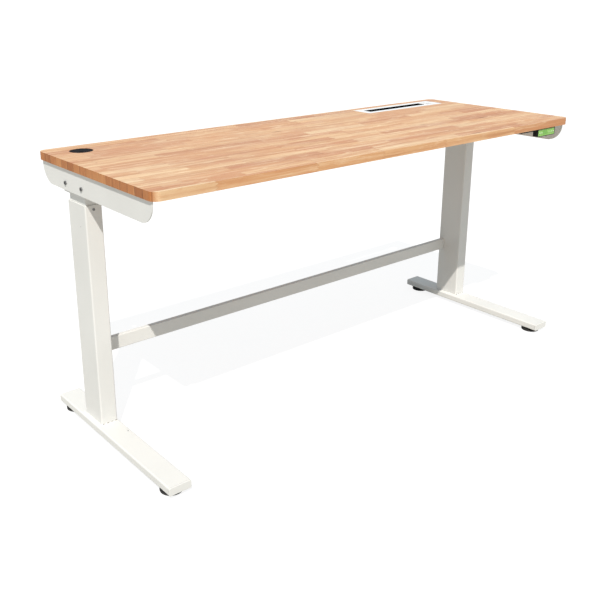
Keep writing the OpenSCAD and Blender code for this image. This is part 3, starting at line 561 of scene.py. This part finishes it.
def merge(target, source):
    """Adds a bmesh to another one."""
    mesh = bpy.data.meshes.new("part")
    source.to_mesh(mesh)
    source.free()
    target.from_mesh(mesh)
    bpy.data.meshes.remove(mesh)


def prism(outline, low, high, radius=0.0, segments=1):
    """An outline in X and Y, raised from low to high, with rounded edges."""
    bm = bmesh.new()
    bottom = [bm.verts.new((x, y, low)) for x, y in outline]
    top = [bm.verts.new((x, y, high)) for x, y in outline]
    bm.faces.new(bottom[::-1])
    bm.faces.new(top)
    for i in range(len(outline)):
        j = (i + 1) % len(outline)
        bm.faces.new((bottom[i], bottom[j], top[j], top[i]))
    if radius:
        soften(bm, radius, segments)
    return bm


def rounded_outline(width, depth, radius, steps=6):
    """Corner points of a rounded rectangle around the origin."""
    points = []
    for k, (sx, sy) in enumerate(((1, 1), (-1, 1), (-1, -1), (1, -1))):
        for i in range(steps + 1):
            a = math.radians(90 * k + 90 * i / steps)
            points.append((sx * (width / 2 - radius) + radius * math.cos(a),
                           sy * (depth / 2 - radius) + radius * math.sin(a)))
    return points


def bead(path, radius, closed=True, step=1.1 * MM):
    """A weld bead along a path of points: a thin rope with the ripples that a torch leaves."""
    points = []
    pairs = list(zip(path, path[1:] + path[:1])) if closed else list(zip(path, path[1:]))
    for a, b in pairs:
        count = max(1, round((b - a).length / step))
        points += [a.lerp(b, i / count) for i in range(count)]
    if not closed:
        points.append(path[-1])
    bm = bmesh.new()
    rings = []
    travelled, sides = 0.0, 8
    for i, point in enumerate(points):
        before = points[i - 1] if closed or i else point
        after = points[(i + 1) % len(points)] if closed or i + 1 < len(points) else point
        along = (after - before).normalized()
        travelled += (point - before).length
        side = along.cross(Vector((0, 0, 1)))
        side = side.normalized() if side.length > 0.1 else Vector((1, 0, 0))
        up = side.cross(along)
        wave = 0.16 * math.sin(2 * math.pi * travelled / WELD_RIPPLE)
        swell = 1 + wave + RANDOM.uniform(-0.05, 0.05)
        if not closed:
            swell *= min(1.0, 0.25 + 0.5 * min(i, len(points) - 1 - i))
        rings.append([bm.verts.new(point + radius * swell * (math.cos(t) * side + math.sin(t) * up))
                      for t in (2 * math.pi * k / sides for k in range(sides))])
    pairs = zip(rings, rings[1:] + rings[:1]) if closed else zip(rings, rings[1:])
    for low, high in pairs:
        for k in range(sides):
            bm.faces.new((low[k], low[(k + 1) % sides], high[(k + 1) % sides], high[k]))
    if not closed:
        bm.faces.new(rings[0][::-1])
        bm.faces.new(rings[-1])
    return bm


# ---- Pieces ----

def make_desktop():
    """The wooden top, with a roundover along its outer edges. Its cut-outs stay sharp."""
    bm = cad_shape("desktop")
    low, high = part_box("desktop")
    roundover, band, level = 4.0 * MM, 24 * MM, 1e-5

    def in_band(point):
        return (point.x < low.x + band or point.x > high.x - band
                or point.y < low.y + band or point.y > high.y - band)

    def outer(edge):
        a, b = (v.co for v in edge.verts)
        return in_band(a) and in_band(b) and abs(a.z - b.z) < level

    soften(bm, roundover, 5, pick=outer)
    add_piece("desktop_wood", bm, "oiled_wood", BODY_OF["desktop"], ("desktop",))


def make_bristles():
    """Two rows of nylon bristles that meet in the cable box's middle, almost level with its frame."""
    low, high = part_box("cable_box_brushes")
    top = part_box("cable_box_frame")[1].z - 0.2 * MM
    middle = (low.y + high.y) / 2
    bm = bmesh.new()
    pitch, thick, layers = 0.8 * MM, 0.50 * MM, 3
    for side in (-1, 1):
        root = low.y if side < 0 else high.y
        rail = rounded_outline(high.x - low.x, 2.0 * MM, 0.4 * MM, 2)
        holder = placed(prism(rail, low.z, top, 0.2 * MM),
                        ((low.x + high.x) / 2, root - side * 1.0 * MM, 0))
        merge(bm, holder)
        for layer in range(layers):
            x = low.x + pitch * (0.5 + 0.5 * (layer % 2))
            while x < high.x - pitch:
                lean = RANDOM.uniform(-0.9, 0.9) * MM
                tip = middle + side * RANDOM.uniform(-0.5, 0.7) * MM
                z = top - (0.5 + 1.2 * layer) * MM + RANDOM.uniform(-0.2, 0.2) * MM
                drop = RANDOM.uniform(-0.5, 0.1) * MM
                ends = []
                stations = ((root - side * 1.5 * MM, 0, 0, thick), (tip, lean, drop, thick * 0.6))
                for y, dx, dz, t in stations:
                    ends.append([bm.verts.new((x + dx + ox * t, y, z + dz + oz * t))
                                 for ox, oz in ((-0.5, -0.5), (0.5, -0.5), (0, 0.6))])
                for k in range(3):
                    j = (k + 1) % 3
                    bm.faces.new((ends[0][k], ends[0][j], ends[1][j], ends[1][k]))
                bm.faces.new(ends[0][::-1])
                bm.faces.new(ends[1])
                x += pitch
    add_piece("cable_box_bristles", bm, "black_bristle", BODY_OF["cable_box_brushes"],
              ("cable_box_brushes",))


def make_lid():
    """The grommet's turning lid, with the rounded edges of a moulding."""
    bm = cad_shape("grommet_cap")
    soften(bm, 0.5 * MM)
    add_piece("grommet_lid", bm, "black_plastic", BODY_OF["grommet_cap"], ("grommet_cap",))


def make_welds():
    """Painted beads at the columns' feet and heads and at the stretcher's ends.

    The dark strips in front of the feet's beads are painted shade, standing for the shaded gaps between
    the tacks.
    """
    for side in ("left", "right"):
        low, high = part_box("outer_column_" + side)
        inset, z = 3.2 * MM, low.z + 0.2 * MM
        left, right, front, back = low.x, high.x, low.y, high.y
        path = [Vector(p) for p in (
            (right - inset, front + 0.3 * MM, z), (right, front + inset, z), (right, back - inset, z),
            (right - inset, back, z), (left + inset, back, z), (left, back - inset, z),
            (left, front + inset, z), (left + inset, front + 0.3 * MM, z))]
        bm = bead(path, 0.9 * MM, closed=False)
        add_piece("foot_weld_" + side, bm, "white_powder_coat", "base", smooth=WELD_SMOOTH)
        # Painted shade: dark strips where the gaps between the tacks lie in shade
        gaps = bmesh.new()
        for share in (0.12, 0.40, 0.66, 0.90):
            x = left + share * (right - left)
            half = RANDOM.uniform(2.2, 3.6) * MM
            path = [Vector((x - half, front, z + 0.2 * MM)), Vector((x + half, front, z + 0.5 * MM))]
            merge(gaps, bead(path, 0.75 * MM, closed=False, step=0.8 * MM))
        add_piece("tack_gap_shade_" + side, gaps, "white_powder_coat", "base", material="painted_gap_shade",
                  smooth=WELD_SMOOTH)
        low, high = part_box("inner_column_" + side)
        z = high.z - 0.2 * MM
        path = [Vector(p) for p in (
            (low.x + inset, low.y, z), (high.x - inset, low.y, z), (high.x, low.y + inset, z),
            (high.x, high.y - inset, z), (high.x - inset, high.y, z), (low.x + inset, high.y, z),
            (low.x, high.y - inset, z), (low.x, low.y + inset, z))]
        bm = bead(path, 1.1 * MM)
        add_piece("head_weld_" + side, bm, "white_powder_coat", "desk", smooth=WELD_SMOOTH)
    low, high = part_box("stretcher")
    for side, x in (("left", low.x), ("right", high.x)):
        inward = 0.6 * MM if side == "left" else -0.6 * MM
        inset = 2 * MM
        path = [Vector((x + inward, y, z)) for y, z in (
            (low.y, low.z + inset), (low.y, high.z - inset), (low.y + inset, high.z),
            (high.y - inset, high.z), (high.y, high.z - inset), (high.y, low.z + inset),
            (high.y - inset, low.z), (low.y + inset, low.z))]
        bm = bead(path, 0.7 * MM)
        add_piece("stretcher_weld_" + side, bm, "white_powder_coat", "base", smooth=WELD_SMOOTH)


def make_levelers():
    """Rubber pads with a moulded rim, a hexagon nut and a threaded stud."""
    for end in ("front", "back"):
        for side in ("left", "right"):
            node = f"leveler_{end}_{side}"
            low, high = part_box(node)
            centre = Vector(((low.x + high.x) / 2, (low.y + high.y) / 2, 0))
            edge = (high.x - low.x) / 2 / MM
            pad = [(0, 0.6), (edge - 8, 0.6), (edge - 7, 0), (edge - 1.6, 0), (edge - 0.5, 0.5),
                   (edge, 1.8), (edge, 5.2), (edge - 0.6, 6.0), (edge - 0.6, 7.0), (edge - 0.1, 7.6),
                   (edge - 0.5, 8.9), (edge - 2.2, 9.7), (edge - 6, 10.0), (edge - 9, 9.4), (13, 9.2),
                   (11.5, 10.2), (0, 10.2)]
            bm = placed(lathe(pad, 72), centre)
            add_piece(node + "_pad", bm, "black_rubber", node, (node,))
            corner = 8.0 * MM
            turns = [math.radians(60 * k) for k in range(6)]
            hexagon = [(corner * math.cos(t), corner * math.sin(t)) for t in turns]
            metal_parts = prism(hexagon, 9.9 * MM, 12.6 * MM, 0.4 * MM, 2)
            root, crest, pitch, top = 3.45, 3.98, 1.25, high.z / MM
            thread = [(0, 12.0)]
            z = 12.2
            while z < top - 1.6:
                thread += [(root, z), (crest, z + 0.5), (crest, z + 0.7), (root, z + 1.2)]
                z += pitch
            thread += [(3.3, top - 0.4), (2.8, top), (0, top)]
            merge(metal_parts, lathe(thread, 36))
            placed(metal_parts, centre)
            add_piece(node + "_stud", metal_parts, "black_rubber", node, (node,),
                      material="zinc_plated_screws")


def make_motors():
    """Each motor: a flange, a drawn can with pressed grooves, a crimped rim and a bolted end bell."""
    for side in ("left", "right"):
        node = "motor_" + side
        low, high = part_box(node)
        length, radius = (high.x - low.x) / MM, (high.z - low.z) / 2 / MM
        bell = length - 10
        profile = [(0, 0), (radius - 0.6, 0), (radius, 0.6), (radius, 3.4), (radius - 0.5, 4.0),
                   (radius - 0.5, 18)]
        for groove in (18, 26, 34):
            profile += [(radius - 1.3, groove + 0.9), (radius - 1.3, groove + 2.6),
                        (radius - 0.5, groove + 3.5)]
        profile += [(radius - 0.5, bell - 5), (radius, bell - 4.4), (radius, bell - 0.6),
                    (radius - 0.6, bell), (radius - 2, bell), (radius - 2.1, length - 3),
                    (radius - 3.2, length - 1), (radius - 5, length - 0.4), (6.5, length - 0.4),
                    (6.2, length), (0, length)]
        bm = lathe(profile, 72)
        bolt_circle = 10.6 * MM
        bolt_profile = [(0, length - 2.4), (1.5, length - 2.4), (1.5, length - 0.8),
                        (1.0, length - 0.3), (0, length - 0.3)]
        for k in range(4):
            a = math.radians(45 + 90 * k)
            bolt = lathe(bolt_profile, 16)
            merge(bm, placed(bolt, (bolt_circle * math.cos(a), bolt_circle * math.sin(a), 0)))
        at = Vector((high.x if side == "right" else low.x, (low.y + high.y) / 2, (low.z + high.z) / 2))
        placed(bm, at, (0, -90 if side == "right" else 90, 0))
        add_piece(node + "_can", bm, "motor_black", BODY_OF[node], (node,))


def make_control_box():
    """The control box, with cooling ribs and a raised plate underneath."""
    bm = cad_shape("control_box")
    soften(bm, 0.9 * MM, 3)
    low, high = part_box("control_box")
    middle = Vector(((low.x + high.x) / 2, (low.y + high.y) / 2, 0))
    ribs, pitch = 9, 6.5
    for k in range(ribs):
        outline = rounded_outline(44 * MM, 2.4 * MM, 1.1 * MM)
        rib = prism(outline, low.z - 0.7 * MM, low.z + 0.5 * MM, 0.3 * MM, 2)
        merge(bm, placed(rib, middle + Vector((48 * MM, (k - ribs // 2) * pitch * MM, 0))))
    outline = rounded_outline(74 * MM, 60 * MM, 3 * MM)
    plate = prism(outline, low.z - 0.5 * MM, low.z + 0.4 * MM, 0.25 * MM, 2)
    merge(bm, placed(plate, middle + Vector((-40 * MM, 0, 0))))
    add_piece("control_box_case", bm, "black_plastic", BODY_OF["control_box"], ("control_box",))


def make_boots():
    """Short ribbed boots where the leads leave the motors."""
    for side in ("left", "right"):
        low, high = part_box("motor_" + side)
        profile = [(0, 0), (5.2, 0), (5.4, 0.6)]
        for k in range(4):
            profile += [(4.9 - 0.3 * k, 1.6 + 2.4 * k), (4.3 - 0.3 * k, 2.2 + 2.4 * k),
                        (4.3 - 0.3 * k, 3.2 + 2.4 * k)]
        profile += [(3.4, 12.0), (3.1, 12.4), (0, 12.4)]
        bm = lathe(profile, 32)
        at = Vector((low.x if side == "right" else high.x, (low.y + high.y) / 2, (low.z + high.z) / 2))
        placed(bm, at, (0, -90 if side == "right" else 90, 0))
        add_piece("lead_boot_" + side, bm, "lead_black", "desk")


def make_handset():
    """A display window on the glossy front, switched off, and the button caps with plain marks."""
    low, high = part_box("handset_panel")
    front, centre_z = low.y, (low.z + high.z) / 2
    centre_x = (low.x + high.x) / 2
    glass = prism(rounded_outline(24 * MM, 13 * MM, 1.4 * MM), 0, 0.35 * MM, 0.12 * MM, 2)
    placed(glass, (centre_x - 8 * MM, front + 0.05 * MM, centre_z), (90, 0, 0))
    add_piece("handset_display", glass, "green_panel", "desk", material="display")
    flange, mark_depth = 4.45, 0.14
    for node in ("button_down", "button_up", "button_memory_1", "button_memory_2", "button_memory_3",
                 "button_set"):
        b_low, b_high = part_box(node)
        length, radius = (b_high.y - b_low.y) / MM, 4.0
        profile = [(0, 0), (flange, 0), (flange, 1.0), (radius, 1.05), (radius, length - 0.7),
                   (radius - 0.25, length - 0.2), (radius - 0.8, length), (radius - 1.8, length - 0.12),
                   (0, length - 0.22)]
        cap = lathe(profile, 48)
        x = (b_low.x + b_high.x) / 2
        placed(cap, (x, b_high.y, centre_z), (90, 0, 0))
        add_piece(node + "_cap", cap, "button_plastic", BODY_OF[node], (node,))
        marks = bmesh.new()
        if node in ("button_down", "button_up"):
            half = 2.7 * MM
            tip = half if node == "button_up" else -half
            merge(marks, prism([(0, tip), (-half, -tip * 0.7), (half, -tip * 0.7)], 0, mark_depth * MM))
        elif node == "button_set":
            merge(marks, lathe([(0, 0), (1.9, 0), (1.9, 0.1), (0, mark_depth)], 24))
        else:
            count = int(node[-1])
            for k in range(count):
                pip = prism(rounded_outline(0.9 * MM, 3.8 * MM, 0.3 * MM, 2), 0, mark_depth * MM)
                merge(marks, placed(pip, ((k - (count - 1) / 2) * 1.8 * MM, 0, 0)))
        placed(marks, (x, b_low.y + 0.24 * MM, centre_z), (90, 0, 0))
        add_piece(node + "_mark", marks, "button_plastic", BODY_OF[node], material="mark")


# CAD nodes whose shape is kept, with the radius of their edges in millimetres
REFINED = {
    "grommet_ring": 0.5, "cable_box_frame": 0.6, "side_bracket_left": 0.7,
    "side_bracket_right": 0.7, "bracket_screws": 0.3, "desktop_screws": 0.2, "head_plate_left": 0.7,
    "head_plate_right": 0.7, "cross_rail_front": 0.4, "cross_rail_back": 0.4, "middle_brace": 0.5,
    "inner_column_left": 0.4, "inner_column_right": 0.4, "outer_column_left": 0.35,
    "outer_column_right": 0.35, "mouth_glides": 0.4, "glide_screws": 0.2, "gearbox_left": 0.7,
    "gearbox_right": 0.7, "gearbox_covers": 0.7, "foot_left": 0.5, "foot_right": 0.5,
    "foot_end_caps": 1.0, "level_inserts": 0.3, "stretcher": 0.4, "stretcher_fixings": 0.2,
    "mains_inlet": 0.4, "handset_housing": 0.6, "handset_panel": 0.3,
}

make_camera()
make_light()
make_floor()
MATERIALS = make_materials()
for node, radius in REFINED.items():
    refine(node, radius * MM)
make_desktop()
make_bristles()
make_lid()
make_welds()
make_levelers()
make_motors()
make_control_box()
make_boots()
make_handset()
# Every CAD node gets its slot's finish: those that no piece replaces, such as the leads, show it
for node, obj in NODES.items():
    obj.data.materials.clear()
    obj.data.materials.append(MATERIALS[SLOT_OF[node]])
